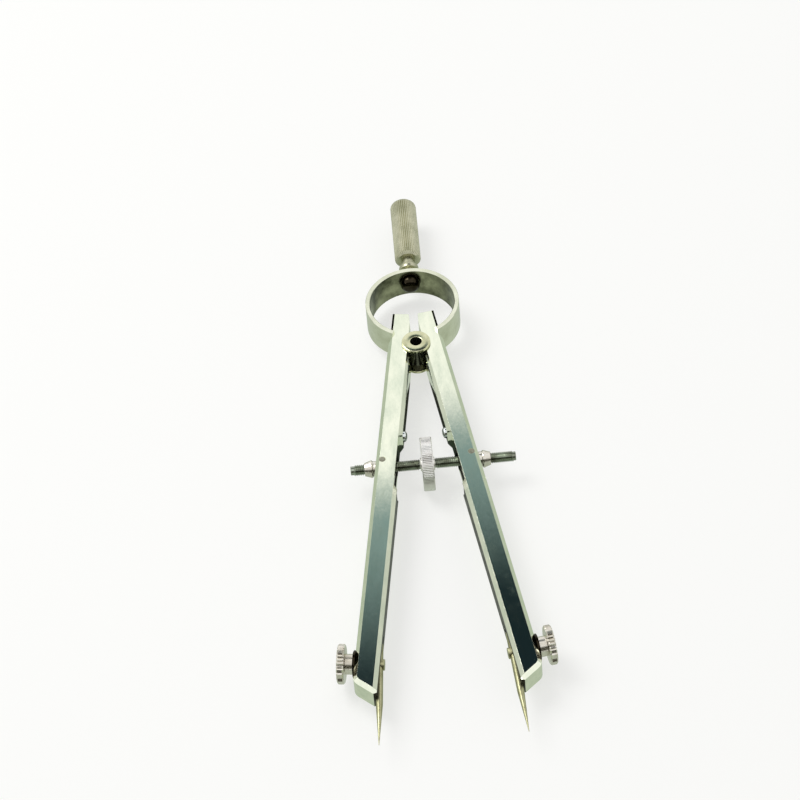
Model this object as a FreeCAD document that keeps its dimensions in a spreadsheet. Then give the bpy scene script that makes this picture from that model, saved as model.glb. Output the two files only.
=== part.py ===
import FreeCAD, Part
import os
import re
import Sketcher

# A spring bow divider with a centre wheel: two chromed bars hang from a spool held by a ring spring,
# and a spindle with opposite threads spreads them. The origin is the middle of the spool's bore,
# +X runs to the right-hand leg, +Y to the handle and +Z out of the front of the tool.

doc = FreeCAD.newDocument("spring_bow_divider")
sheet = doc.addObject("Spreadsheet::Sheet", "sizes")

DRIVING_SIZES = {
    "Opening (degrees from the centre line to one leg)": {
        "rest_angle": 8.17,
        "closed_angle": 0.15,
    },
    "Clearances": {
        "running_clearance": 0.05,
        "seat_gap": 0.02,
    },
    "Spring ring, bent from strip": {
        "ring_radius": 10.75,
        "ring_thickness": 1.0,
        "ring_width": 7.4,
        "ring_rise": 12.57,
        "ring_end_angle": 151.5,
    },
    "Handle with its bead and blind bore": {
        "handle_radius": 3.02,
        "handle_length": 18.2,
        "handle_crown": 0.9,
        "handle_shoulder": 0.6,
        "handle_knurl_depth": 0.2,
        "handle_knurl_count": 20,
        "neck_radius": 1.55,
        "neck_length": 6.0,
        "bead_radius": 2.3,
        "bead_length": 1.5,
        "bead_height": 3.1,
        "bead_round": 0.4,
        "foot_radius": 1.95,
        "foot_height": 0.8,
    },
    "Dome-headed screw inside the ring": {
        "screw_radius": 1.2,
        "screw_engagement": 5.0,
        "screw_head_radius": 2.3,
        "screw_head_height": 1.9,
        "screw_head_rim": 0.5,
    },
    "Fulcrum spool": {
        "spool_waist_radius": 2.25,
        "spool_flange_radius": 3.27,
        "spool_flange_thickness": 0.65,
        "spool_flange_gap": 0.1,
        "spool_bore_radius": 1.3,
        "spool_edge": 0.2,
    },
    "Legs": {
        "leg_width": 5.3,
        "leg_depth": 6.0,
        "leg_inset": 1.1,
        "leg_length": 99.8,
        "leg_bevel": 0.85,
        "leg_foot_slope": 34.0,
        "leg_foot_round": 2.4,
        "leg_top": 9.5,
        "leg_top_step": 0.3,
        "leg_top_gap": 2.0,
        "leg_top_bevel": 0.45,
        "leg_top_round": 1.0,
        "saddle_reach": 4.8,
        "saddle_depth": 2.2,
        "saddle_flat": 0.5,
        "recess_reach": 7.9,
        "recess_depth": 0.8,
        "notch_gap": 0.1,
        "notch_relief": 0.55,
        "notch_mouth": 0.3,
        "notch_lip_angle": 6.3,
        "cut_margin": 1.0,
    },
    "Spindle, wheel and swivelling nuts": {
        "spindle_drop": 35.1,
        "spindle_radius": 1.2,
        "spindle_left": 17.1,
        "spindle_right": 19.6,
        "spindle_end": 0.3,
        "wheel_radius": 6.0,
        "wheel_thickness": 2.6,
        "wheel_edge": 0.2,
        "wheel_hub_radius": 1.5,
        "wheel_hub_length": 3.2,
        "wheel_knurl_depth": 0.22,
        "wheel_knurl_count": 28,
        "pin_radius": 0.75,
        "pin_inset": 1.45,
        "nut_height": 4.2,
        "nut_depth": 3.6,
        "nut_inner_reach": 2.6,
        "nut_outer_reach": 1.2,
        "nut_neck_radius": 1.7,
        "nut_groove_gap": 0.12,
        "collar_start": 2.25,
        "collar_length": 1.85,
        "collar_radius": 1.95,
        "collar_tip_radius": 1.45,
        "collar_rim": 0.35,
        "slot_above": 3.7,
        "slot_below": 8.9,
    },
    "Closing stops": {
        "stud_drop": 25.7,
        "stud_radius": 1.2,
        "stud_height": 0.8,
        "stud_dome": 0.4,
        "stud_shank_radius": 0.6,
        "stud_shank_length": 1.5,
    },
    "Needles and their clamps": {
        "needle_radius": 0.75,
        "needle_length": 26.5,
        "needle_taper": 10.5,
        "needle_point_radius": 0.06,
        "needle_beyond_foot": 11.2,
        "needle_tilt": 4.1,
        "needle_spare_depth": 2.2,
        "point_gap": 0.2,
        "clamp_above_foot": 9.8,
        "clamp_radius": 1.0,
        "clamp_head_radius": 1.2,
        "clamp_head_inset": 0.25,
        "clamp_head_end": 3.2,
        "clamp_travel": 0.2,
        "clamp_stickout": 0.2,
        "clamp_eye_slack": 0.03,
        "washer_radius": 3.0,
        "washer_thickness": 0.5,
        "thumb_hub_radius": 2.2,
        "thumb_hub_length": 1.75,
        "thumb_radius": 4.3,
        "thumb_thickness": 1.5,
        "thumb_edge": 0.25,
        "thumb_dish_radius": 3.0,
        "thumb_dish_depth": 0.3,
        "thumb_knurl_depth": 0.25,
        "thumb_knurl_count": 16,
    },
}

row = 1
for section, entries in DRIVING_SIZES.items():
    sheet.set(f"A{row}", section)
    row += 1
    for alias, size in entries.items():
        sheet.set(f"A{row}", alias)
        sheet.set(f"B{row}", str(size))
        sheet.setAlias(f"B{row}", alias)
        row += 1
doc.recompute()


# Sizes as formulas -----------------------------------------------------------------------------

FUNCTIONS = {"sin", "cos", "tan", "sqrt"}


def formula(text):
    """The text with each size's name turned into a reference to its cell."""
    def cell(match):
        word = match.group(0)
        return word if word in FUNCTIONS else f"sizes.{word}"

    return re.sub(r"[a-z][a-z_]+", cell, text)


def number(text):
    return float(sheet.evalExpression(formula(text)))


def bind(feature, prop, text):
    feature.setExpression(prop, formula(text))


LEG_OUTER = "(leg_inset + leg_width)"
RING_INNER = "(ring_radius - ring_thickness)"
CLAMP_DROP = "(leg_length - clamp_above_foot)"
NEEDLE_REACH = "(leg_length + needle_beyond_foot)"
SLOT_DEPTH = "(nut_depth + 2 * running_clearance)"
PIN_FROM_SIDE = "(leg_inset + leg_width - pin_inset)"
SPINDLE_Y = f"({PIN_FROM_SIDE} * sin(rest_angle) - spindle_drop * cos(rest_angle))"
PIN_X = f"({PIN_FROM_SIDE} * cos(rest_angle) + spindle_drop * sin(rest_angle))"
POINT_INSET = f"(point_gap / 2 - {NEEDLE_REACH} * sin(closed_angle))"
NEEDLE_AT_CLAMP = f"({POINT_INSET} + ({NEEDLE_REACH} - {CLAMP_DROP}) * tan(needle_tilt))"
EYE_RADIUS = "(needle_radius + clamp_travel / 2 + clamp_eye_slack)"
THUMB_START = f"({LEG_OUTER} + washer_thickness)"
THUMB_DISC = f"({THUMB_START} + thumb_hub_length)"
THUMB_END = f"({THUMB_DISC} + thumb_thickness)"


# Features --------------------------------------------------------------------------------------

def new_body(name):
    body = doc.addObject("PartDesign::Body", name)
    body.Label = name
    return body


def new_sketch(body, name, plane):
    sketch = body.newObject("Sketcher::SketchObject", f"{body.Name}_{name}_sketch")
    for datum in body.Origin.OriginFeatures:
        if datum.Role == f"{plane}_Plane":
            sketch.AttachmentSupport = (datum, [""])
    sketch.MapMode = "FlatFace"
    return sketch


def pin_down(sketch, geometry, point, kind, text):
    """Hold one point's x or y, measured from the sketch's origin, to a formula."""
    index = sketch.addConstraint(Sketcher.Constraint(kind, geometry, point, number(text)))
    name = f"{kind}_{index}"
    sketch.renameConstraint(index, name)
    bind(sketch, f"Constraints.{name}", text)


def polygon(sketch, corners):
    """A closed outline with straight sides, each corner's x and y a formula."""
    first = sketch.GeometryCount
    count = len(corners)
    places = [FreeCAD.Vector(number(x), number(y), 0) for x, y in corners]
    for i in range(count):
        sketch.addGeometry(Part.LineSegment(places[i], places[(i + 1) % count]), False)
    for i in range(count):
        after = first + (i + 1) % count
        sketch.addConstraint(Sketcher.Constraint("Coincident", first + i, 2, after, 1))
    for i, (x, y) in enumerate(corners):
        pin_down(sketch, first + i, 1, "DistanceX", x)
        pin_down(sketch, first + i, 1, "DistanceY", y)


def circle(sketch, x, y, radius):
    centre = FreeCAD.Vector(number(x), number(y), 0)
    shape = Part.Circle(centre, FreeCAD.Vector(0, 0, 1), number(radius))
    geometry = sketch.addGeometry(shape, False)
    pin_down(sketch, geometry, 3, "DistanceX", x)
    pin_down(sketch, geometry, 3, "DistanceY", y)
    index = sketch.addConstraint(Sketcher.Constraint("Radius", geometry, number(radius)))
    name = f"Radius_{index}"
    sketch.renameConstraint(index, name)
    bind(sketch, f"Constraints.{name}", radius)


def extrude(body, kind, name, sketch, length=None):
    """A pad or a pocket that grows equally to both sides of its sketch."""
    feature = body.newObject(f"PartDesign::{kind}", f"{body.Name}_{name}")
    feature.Profile = sketch
    feature.SideType = "Symmetric"
    if length is None:
        feature.Type = "ThroughAll"
    else:
        bind(feature, "Length", length)
    sketch.Visibility = False
    body.Tip = feature
    return feature


def turn(body, name, plane, axis, corners):
    """A lathe-turned form: half its section, spun about one axis of its sketch."""
    sketch = new_sketch(body, name, plane)
    polygon(sketch, corners)
    feature = body.newObject("PartDesign::Revolution", f"{body.Name}_{name}")
    feature.Profile = sketch
    feature.ReferenceAxis = (sketch, [axis])
    feature.Angle = 360
    body.Tip = feature
    return feature


def knurl(body, plane, axis, radius, depth, count):
    """Straight V-cuts along a turned rim, one cut repeated round the axis."""
    sketch = new_sketch(body, "knurl", plane)
    polygon(sketch, [
        (f"-{depth}", f"{radius} + {depth} * 0.2"),
        (f"{depth}", f"{radius} + {depth} * 0.2"),
        ("0", f"{radius} - {depth}"),
    ])
    cut = extrude(body, "Pocket", "knurl_cut", sketch)
    doc.recompute()
    pattern = body.newObject("PartDesign::PolarPattern", f"{body.Name}_knurl")
    pattern.Originals = [cut]
    for datum in body.Origin.OriginFeatures:
        if datum.Role == f"{axis}_Axis":
            pattern.Axis = (datum, [""])
    pattern.Angle = 360
    bind(pattern, "Occurrences", count)
    body.Tip = pattern


def place(feature, x, y, z="0", turn_by="0", leg_side=0):
    """Put a piece down, in the tool's frame or, for leg_side +1 or -1, in that leg's frame."""
    spot = f"placement(vector({x}; {y}; {z}); rotation(vector(0; 0; 1); {turn_by}))"
    if leg_side:
        swing = f"rotation(vector(0; 0; 1); {leg_side} * rest_angle)"
        spot = f"placement(vector(0; 0; 0); {swing}) * {spot}"
    words = FUNCTIONS | {"placement", "vector", "rotation"}

    def cell(match):
        word = match.group(0)
        return word if word in words else f"sizes.{word}"

    feature.setExpression("Placement", re.sub(r"[a-z][a-z_]+", cell, spot))


sub_parts = []


def keep(feature):
    sub_parts.append(feature)
    return feature


# Head: ring, handle, screw and spool -----------------------------------------------------------

def ring_cylinder(name, radius, reach):
    """A drum about the ring's axis, open below over the gap between the strip's ends."""
    drum = doc.addObject("Part::Cylinder", name)
    bind(drum, "Radius", radius)
    bind(drum, "Height", "ring_width" + reach)
    bind(drum, "Angle", "2 * ring_end_angle")
    place(drum, "0", "ring_rise", f"-(ring_width{reach}) / 2", "90 - ring_end_angle")
    return drum


def make_spring_ring():
    """A spring steel strip bent to an open ring; its ends press into the legs' notches."""
    blank = ring_cylinder("ring_blank", "ring_radius", "")
    core = ring_cylinder("ring_core", RING_INNER, " + 2")
    core.setExpression("Angle", None)
    core.Angle = 360
    hole = doc.addObject("Part::Cylinder", "ring_screw_hole")
    bind(hole, "Radius", "screw_radius + running_clearance")
    bind(hole, "Height", "2 * ring_thickness")
    hole.Placement = FreeCAD.Placement(
        FreeCAD.Vector(0, number("ring_rise + ring_radius - 1.5 * ring_thickness"), 0),
        FreeCAD.Rotation(FreeCAD.Vector(1, 0, 0), -90),
    )
    bind(hole, "Placement.Base.y", "ring_rise + ring_radius - 1.5 * ring_thickness")
    strip = doc.addObject("Part::Cut", "ring_strip")
    strip.Base = blank
    strip.Tool = core
    ring = doc.addObject("Part::Cut", "spring_ring")
    ring.Label = "spring_ring"
    ring.Base = strip
    ring.Tool = hole
    return keep(ring)


def make_handle():
    """Turned in one piece: foot, neck with a bead, and the knurled grip; bored for its screw."""
    body = new_body("handle")
    foot = "ring_rise + ring_radius + seat_gap"
    bead = f"{foot} + bead_height"
    grip = f"{foot} + neck_length"
    top = f"{grip} + handle_length"
    turn(body, "turned_form", "XY", "V_Axis", [
        ("screw_radius", foot),
        ("foot_radius", foot),
        ("foot_radius", f"{foot} + foot_height / 2"),
        ("neck_radius", f"{foot} + foot_height"),
        ("neck_radius", f"{bead} - bead_length / 2"),
        ("bead_radius - bead_round", f"{bead} - bead_length / 2"),
        ("bead_radius", f"{bead} - bead_length / 2 + bead_round"),
        ("bead_radius", f"{bead} + bead_length / 2 - bead_round"),
        ("bead_radius - bead_round", f"{bead} + bead_length / 2"),
        ("neck_radius", f"{bead} + bead_length / 2"),
        ("neck_radius", grip),
        ("handle_radius - handle_shoulder", grip),
        ("handle_radius", f"{grip} + handle_shoulder"),
        ("handle_radius", f"{top} - handle_crown"),
        ("handle_radius - handle_crown", top),
        ("0", top),
        ("0", f"{foot} + screw_engagement"),
        ("screw_radius", f"{foot} + screw_engagement"),
    ])
    knurl(body, "XZ", "Y", "handle_radius", "handle_knurl_depth", "handle_knurl_count")
    return keep(body)


def make_handle_screw():
    """The round head lies against the inside of the ring and its shank pulls the handle down."""
    body = new_body("handle_screw")
    seat = f"ring_rise + sqrt({RING_INNER}^2 - screw_head_radius^2) - seat_gap"
    foot = "ring_rise + ring_radius + seat_gap"
    turn(body, "turned_form", "XY", "V_Axis", [
        ("0", f"{seat} - screw_head_height"),
        ("screw_head_radius * 0.5", f"{seat} - screw_head_height + screw_head_rim * 0.3"),
        ("screw_head_radius * 0.87", f"{seat} - screw_head_rim - screw_head_rim"),
        ("screw_head_radius", f"{seat} - screw_head_rim"),
        ("screw_head_radius", seat),
        ("screw_radius", seat),
        ("screw_radius", f"{foot} + screw_engagement - seat_gap"),
        ("0", f"{foot} + screw_engagement - seat_gap"),
    ])
    return keep(body)


def make_fulcrum_spool():
    """The spool the legs roll on: a waist between two flanges that keep the legs in line."""
    body = new_body("fulcrum_spool")
    inner = "leg_depth / 2 + spool_flange_gap"
    outer = f"{inner} + spool_flange_thickness"
    half = [
        ("spool_waist_radius", inner),
        ("spool_flange_radius", inner),
        ("spool_flange_radius", f"{outer} - spool_edge"),
        ("spool_flange_radius - spool_edge", outer),
        ("spool_bore_radius + spool_edge", outer),
        ("spool_bore_radius", f"{outer} - spool_edge"),
    ]
    lower = [(radius, f"-({height})") for radius, height in reversed(half)]
    turn(body, "turned_form", "XZ", "V_Axis", half + lower)
    return keep(body)


# Legs ------------------------------------------------------------------------------------------

def ring_end_in_leg(radius, angle):
    """A point of the ring's section, as (out, up) in the right leg's own frame."""
    x = f"(({radius}) * sin({angle}))"
    y = f"(ring_rise + ({radius}) * cos({angle}))"
    out = f"({x} * cos(rest_angle) + {y} * sin(rest_angle))"
    up = f"({y} * cos(rest_angle) - {x} * sin(rest_angle))"
    return out, up


def mirrored(side, corners):
    return [(f"{side} * ({x})", y) for x, y in corners]


def bar_outline():
    """The plain bar before its top is shaped, with the foot cut off on a slope."""
    return [
        ("leg_inset", "-leg_length"),
        (LEG_OUTER, "-(leg_length - leg_width * tan(leg_foot_slope))"),
        (LEG_OUTER, "leg_top"),
        ("leg_inset", "leg_top"),
    ]


def notch_outline():
    """What the outer side loses: the notch for the ring's end, and a step from there up."""
    under, under_up = ring_end_in_leg("ring_radius + notch_relief", "ring_end_angle")
    over, over_up = ring_end_in_leg(f"{RING_INNER} - notch_gap", "ring_end_angle")
    lip_up = ring_end_in_leg(f"{RING_INNER} - notch_gap", "(ring_end_angle - notch_lip_angle)")[1]
    return [
        (LEG_OUTER, "notch_mouth"),
        (under, under_up),
        (over, over_up),
        (f"{LEG_OUTER} - leg_top_step", lip_up),
        (f"{LEG_OUTER} - leg_top_step", "leg_top + cut_margin"),
        (f"{LEG_OUTER} + cut_margin", "leg_top + cut_margin"),
        (f"{LEG_OUTER} + cut_margin", "notch_mouth"),
    ]


def inner_side_at(height):
    """How far out the inner side stands above the spool, where it is upright at rest."""
    return f"(leg_top_gap / 2 + {height} * sin(rest_angle)) / cos(rest_angle)"


def saddle_outline():
    """What the inner side loses: a shallow vee for the spool, and the wedge above it."""
    return [
        ("leg_inset", "-saddle_reach"),
        ("saddle_depth", "-saddle_flat"),
        ("saddle_depth", "saddle_flat"),
        (inner_side_at("saddle_reach"), "saddle_reach"),
        (inner_side_at("(leg_top + cut_margin)"), "leg_top + cut_margin"),
        ("leg_inset - cut_margin", "leg_top + cut_margin"),
        ("leg_inset - cut_margin", "-saddle_reach"),
    ]


def recess_outline():
    """What the inner side loses beside the wheel, so that the closed legs don't pinch its rim."""
    top = "-(spindle_drop - recess_reach)"
    foot = "-(spindle_drop + recess_reach)"
    return [
        ("leg_inset - cut_margin", f"{top} + cut_margin"),
        ("leg_inset + recess_depth", f"{top} - recess_depth"),
        ("leg_inset + recess_depth", f"{foot} + recess_depth"),
        ("leg_inset - cut_margin", f"{foot} - cut_margin"),
    ]


def edges_where(shape, wanted):
    return [f"Edge{i + 1}" for i, edge in enumerate(shape.Edges) if wanted(edge)]


def near(a, b):
    return abs(a - b) < 1e-4


def round_corner(body, name, corner, radius):
    """Round the upright edge that stands at one corner of the leg's outline."""
    x, y = (number(text) for text in corner)
    base = body.Tip

    def wanted(edge):
        return all(near(v.X, x) and near(v.Y, y) for v in edge.Vertexes)

    fillet = body.newObject("PartDesign::Fillet", f"{body.Name}_{name}")
    fillet.Base = (base, edges_where(base.Shape, wanted))
    bind(fillet, "Radius", radius)
    body.Tip = fillet
    doc.recompute()


def bevel_rims(body, name, size, end):
    """Bevel the bar's front and back rims all round, but for the square end at its top."""
    base = body.Tip
    face = number("leg_depth / 2")
    top = number(end)

    def wanted(edge):
        flat = all(near(abs(v.Z), face) for v in edge.Vertexes)
        return flat and not all(near(v.Y, top) for v in edge.Vertexes)

    chamfer = body.newObject("PartDesign::Chamfer", f"{body.Name}_{name}")
    chamfer.Base = (base, edges_where(base.Shape, wanted))
    bind(chamfer, "Size", size)
    body.Tip = chamfer
    doc.recompute()


def make_leg(side, name):
    """A bar with bevelled rims, a saddle for the spool, a recess for the wheel, a slot and a socket."""
    body = new_body(name)
    corners = mirrored(side, bar_outline())
    profile = new_sketch(body, "outline", "XY")
    polygon(profile, corners)
    extrude(body, "Pad", "bar", profile, "leg_depth")
    doc.recompute()
    round_corner(body, "foot_round", corners[1], "leg_foot_round")
    bevel_rims(body, "long_bevels", "leg_bevel", "leg_top")
    shaping = new_sketch(body, "shaping", "XY")
    polygon(shaping, mirrored(side, notch_outline()))
    polygon(shaping, mirrored(side, saddle_outline()))
    polygon(shaping, mirrored(side, recess_outline()))
    extrude(body, "Pocket", "shaping", shaping)
    doc.recompute()
    inner_top = (f"{side} * {inner_side_at('leg_top')}", "leg_top")
    round_corner(body, "top_round", inner_top, "leg_top_round")
    top_bevels = new_sketch(body, "top_bevels", "YZ")
    for face in ("", "-"):
        polygon(top_bevels, [
            ("leg_top - leg_top_bevel", f"{face}(leg_depth / 2)"),
            ("leg_top", f"{face}(leg_depth / 2 - leg_top_bevel)"),
            ("leg_top + cut_margin", f"{face}(leg_depth / 2 - leg_top_bevel)"),
            ("leg_top + cut_margin", f"{face}(leg_depth / 2 + cut_margin)"),
            ("leg_top - leg_top_bevel", f"{face}(leg_depth / 2 + cut_margin)"),
        ])
    extrude(body, "Pocket", "top_bevels", top_bevels)

    saddle = new_sketch(body, "saddle", "XY")
    circle(saddle, "0", "0", "spool_waist_radius + running_clearance")
    extrude(body, "Pocket", "saddle", saddle)

    slot = new_sketch(body, "slot", "YZ")
    low = "-spindle_drop - slot_below"
    high = "-spindle_drop + slot_above"
    polygon(slot, [
        (low, f"-{SLOT_DEPTH} / 2"),
        (high, f"-{SLOT_DEPTH} / 2"),
        (high, f"{SLOT_DEPTH} / 2"),
        (low, f"{SLOT_DEPTH} / 2"),
    ])
    extrude(body, "Pocket", "slot", slot)

    pin_hole = new_sketch(body, "pin_hole", "XY")
    circle(pin_hole, f"{side} * {PIN_FROM_SIDE}", "-spindle_drop", "pin_radius")
    extrude(body, "Pocket", "pin_hole", pin_hole)

    stud_hole = new_sketch(body, "stud_hole", "YZ")
    circle(stud_hole, "-stud_drop", "0", "stud_shank_radius")
    extrude(body, "Pocket", "stud_hole", stud_hole, "2 * (leg_inset + stud_shank_length)")

    bolt_hole = new_sketch(body, "bolt_hole", "YZ")
    circle(bolt_hole, f"-{CLAMP_DROP}", "0", "clamp_radius + running_clearance")
    extrude(body, "Pocket", "bolt_hole", bolt_hole)

    head_hole = new_sketch(body, "head_hole", "YZ")
    circle(head_hole, f"-{CLAMP_DROP}", "0", "clamp_head_radius + running_clearance")
    extrude(body, "Pocket", "head_hole", head_hole, "2 * (clamp_head_end + clamp_travel)")

    socket = body.newObject("PartDesign::SubtractiveCylinder", f"{name}_needle_socket")
    bind(socket, "Radius", "needle_radius + running_clearance")
    bind(socket, "Height", "needle_length + needle_spare_depth")
    lean = f"rotation(vector(0; 0; 1); -({side}) * sizes.needle_tilt)"
    upright = "rotation(vector(1; 0; 0); -90)"
    start = f"vector({side} * {formula(POINT_INSET)}; -{formula(NEEDLE_REACH)}; 0)"
    zero = "vector(0; 0; 0)"
    socket.setExpression("Placement", f"placement({start}; {lean}) * placement({zero}; {upright})")
    body.Tip = socket
    place(body, "0", "0", leg_side=side)
    return keep(body)


def make_stop_stud(side, name):
    """A domed stud pressed into the leg's inner side, just above the recess for the wheel."""
    body = new_body(name)
    tip = "(leg_inset - stud_height)"
    shank = "(leg_inset + stud_shank_length)"
    turn(body, "turned_form", "XY", "H_Axis", [
        (f"{side} * {tip}", "0"),
        (f"{side} * {tip}", "stud_radius - stud_dome"),
        (f"{side} * ({tip} + stud_dome)", "stud_radius"),
        (f"{side} * leg_inset", "stud_radius"),
        (f"{side} * leg_inset", "stud_shank_radius"),
        (f"{side} * {shank}", "stud_shank_radius"),
        (f"{side} * {shank}", "0"),
    ])
    place(body, "0", "-stud_drop", leg_side=side)
    return keep(body)


# Spindle, wheel, nuts and their pins -----------------------------------------------------------

def make_spindle():
    """A rod with a right-hand thread on one half and a left-hand thread on the other."""
    body = new_body("spindle")
    turn(body, "turned_form", "XY", "H_Axis", [
        ("-spindle_left", "0"),
        ("-spindle_left", "spindle_radius - spindle_end"),
        ("-spindle_left + spindle_end", "spindle_radius"),
        ("spindle_right - spindle_end", "spindle_radius"),
        ("spindle_right", "spindle_radius - spindle_end"),
        ("spindle_right", "0"),
    ])
    place(body, "0", SPINDLE_Y)
    return keep(body)


def make_adjusting_wheel():
    """The centre wheel, pressed on the spindle, with a hub on each side and a knurled rim."""
    body = new_body("adjusting_wheel")
    face = "wheel_thickness / 2"
    half = [
        ("wheel_hub_length / 2", "spindle_radius"),
        ("wheel_hub_length / 2", "wheel_hub_radius"),
        (face, "wheel_hub_radius"),
        (face, "wheel_radius - wheel_edge"),
        (f"{face} - wheel_edge", "wheel_radius"),
    ]
    other = [(f"-({x})", radius) for x, radius in reversed(half)]
    turn(body, "turned_form", "XY", "H_Axis", half + other)
    knurl(body, "YZ", "X", "wheel_radius", "wheel_knurl_depth", "wheel_knurl_count")
    place(body, "0", SPINDLE_Y)
    return keep(body)


def make_spindle_nut(side, name):
    """A block that swivels in the leg's slot on two pins, with a conical collar outside the leg."""
    body = new_body(name)
    block = new_sketch(body, "block", "XY")
    polygon(block, [
        (f"-({side}) * nut_inner_reach", "-nut_height / 2"),
        (f"{side} * nut_outer_reach", "-nut_height / 2"),
        (f"{side} * nut_outer_reach", "nut_height / 2"),
        (f"-({side}) * nut_inner_reach", "nut_height / 2"),
    ])
    extrude(body, "Pad", "block", block, "nut_depth")
    collar_end = "collar_start + collar_length"
    turn(body, "collar", "XY", "H_Axis", [
        ("0", "0"),
        ("0", "nut_neck_radius"),
        (f"{side} * collar_start", "nut_neck_radius"),
        (f"{side} * collar_start", "collar_radius - collar_rim / 2"),
        (f"{side} * (collar_start + collar_rim / 2)", "collar_radius"),
        (f"{side} * (collar_start + collar_rim)", "collar_radius"),
        (f"{side} * ({collar_end})", "collar_tip_radius"),
        (f"{side} * ({collar_end})", "0"),
    ])
    bore = new_sketch(body, "bore", "YZ")
    circle(bore, "0", "0", "spindle_radius + running_clearance")
    extrude(body, "Pocket", "bore", bore)
    grooves = new_sketch(body, "grooves", "XZ")
    wall = "pin_radius + nut_groove_gap"
    floor = "spindle_radius + 4 * running_clearance"
    for sign in ("", "-"):
        polygon(grooves, [
            (f"-({wall})", f"{sign}({floor})"),
            (wall, f"{sign}({floor})"),
            (wall, f"{sign}nut_depth"),
            (f"-({wall})", f"{sign}nut_depth"),
        ])
    extrude(body, "Pocket", "grooves", grooves)
    place(body, f"{side} * {PIN_X}", SPINDLE_Y)
    return keep(body)


def make_pivot_pin(side, name, front):
    """A pin pressed flush into one cheek of the leg; its inner end runs in the nut's groove."""
    pin = doc.addObject("Part::Cylinder", name)
    pin.Label = name
    start = "spindle_radius + 5 * running_clearance"
    bind(pin, "Radius", "pin_radius")
    bind(pin, "Height", f"leg_depth / 2 - ({start})")
    z = f"({start})" if front else "-leg_depth / 2"
    place(pin, f"{side} * {PIN_FROM_SIDE}", "-spindle_drop", z, leg_side=side)
    return keep(pin)


# Needles and their clamps ----------------------------------------------------------------------

def make_needle(side, name):
    """A hardened needle with a long ground point, its origin at the point."""
    body = new_body(name)
    turn(body, "turned_form", "XY", "V_Axis", [
        ("0", "0"),
        ("needle_point_radius", "0"),
        ("needle_radius", "needle_taper"),
        ("needle_radius", "needle_length - needle_radius / 3"),
        ("needle_radius * 2 / 3", "needle_length"),
        ("0", "needle_length"),
    ])
    x = f"{side} * {POINT_INSET}"
    place(body, x, f"-{NEEDLE_REACH}", turn_by=f"-({side}) * needle_tilt", leg_side=side)
    return keep(body)


def make_clamp_bolt(side, name):
    """An eye bolt: the needle passes through its head and the thumb nut draws it outwards."""
    body = new_body(name)
    end = f"({THUMB_END} + clamp_stickout)"
    turn(body, "turned_form", "XY", "H_Axis", [
        (f"{side} * clamp_head_inset", "0"),
        (f"{side} * clamp_head_inset", "clamp_head_radius"),
        (f"{side} * clamp_head_end", "clamp_head_radius"),
        (f"{side} * clamp_head_end", "clamp_radius"),
        (f"{side} * ({end} - clamp_stickout)", "clamp_radius"),
        (f"{side} * {end}", "clamp_radius - clamp_stickout"),
        (f"{side} * {end}", "0"),
    ])
    eye = body.newObject("PartDesign::SubtractiveCylinder", f"{name}_eye")
    bind(eye, "Radius", EYE_RADIUS)
    bind(eye, "Height", "4 * clamp_head_radius")
    lean = f"rotation(vector(0; 0; 1); -({side}) * sizes.needle_tilt)"
    upright = "rotation(vector(1; 0; 0); -90)"
    centre = f"{side} * ({formula(NEEDLE_AT_CLAMP)} + sizes.clamp_travel / 2)"
    start = "vector(0; -2 * sizes.clamp_head_radius; 0)"
    eye.setExpression(
        "Placement",
        f"placement(vector({centre}; 0; 0); {lean}) * placement({start}; {upright})",
    )
    body.Tip = eye
    place(body, "0", f"-{CLAMP_DROP}", leg_side=side)
    return keep(body)


def make_washer(side, name):
    body = new_body(name)
    turn(body, "turned_form", "XY", "H_Axis", [
        (f"{side} * {LEG_OUTER}", "clamp_radius + running_clearance"),
        (f"{side} * {LEG_OUTER}", "washer_radius"),
        (f"{side} * {THUMB_START}", "washer_radius"),
        (f"{side} * {THUMB_START}", "clamp_radius + running_clearance"),
    ])
    place(body, "0", f"-{CLAMP_DROP}", leg_side=side)
    return keep(body)


def make_thumb_nut(side, name):
    """A knurled thumb nut: a hub against the washer and a wide disc with a dished face."""
    body = new_body(name)
    bore = "clamp_radius + running_clearance"
    turn(body, "turned_form", "XY", "H_Axis", [
        (f"{side} * {THUMB_START}", bore),
        (f"{side} * {THUMB_START}", "thumb_hub_radius"),
        (f"{side} * {THUMB_DISC}", "thumb_hub_radius"),
        (f"{side} * {THUMB_DISC}", "thumb_radius - thumb_edge"),
        (f"{side} * ({THUMB_DISC} + thumb_edge)", "thumb_radius"),
        (f"{side} * ({THUMB_END} - thumb_edge)", "thumb_radius"),
        (f"{side} * {THUMB_END}", "thumb_radius - thumb_edge"),
        (f"{side} * {THUMB_END}", "thumb_dish_radius"),
        (f"{side} * ({THUMB_END} - thumb_dish_depth)", "thumb_dish_radius - thumb_dish_depth"),
        (f"{side} * ({THUMB_END} - thumb_dish_depth)", bore),
    ])
    knurl(body, "YZ", "X", "thumb_radius", "thumb_knurl_depth", "thumb_knurl_count")
    place(body, "0", f"-{CLAMP_DROP}", leg_side=side)
    return keep(body)


# Assembly --------------------------------------------------------------------------------------

make_spring_ring()
make_handle()
make_handle_screw()
make_fulcrum_spool()
make_spindle()
make_adjusting_wheel()
for side, hand in ((-1, "left"), (1, "right")):
    make_leg(side, f"{hand}_leg")
    make_stop_stud(side, f"{hand}_stop_stud")
    make_spindle_nut(side, f"{hand}_spindle_nut")
    make_pivot_pin(side, f"{hand}_front_pivot_pin", True)
    make_pivot_pin(side, f"{hand}_rear_pivot_pin", False)
    make_needle(side, f"{hand}_needle")
    make_clamp_bolt(side, f"{hand}_clamp_bolt")
    make_washer(side, f"{hand}_washer")
    make_thumb_nut(side, f"{hand}_thumb_nut")
doc.recompute()

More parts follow.
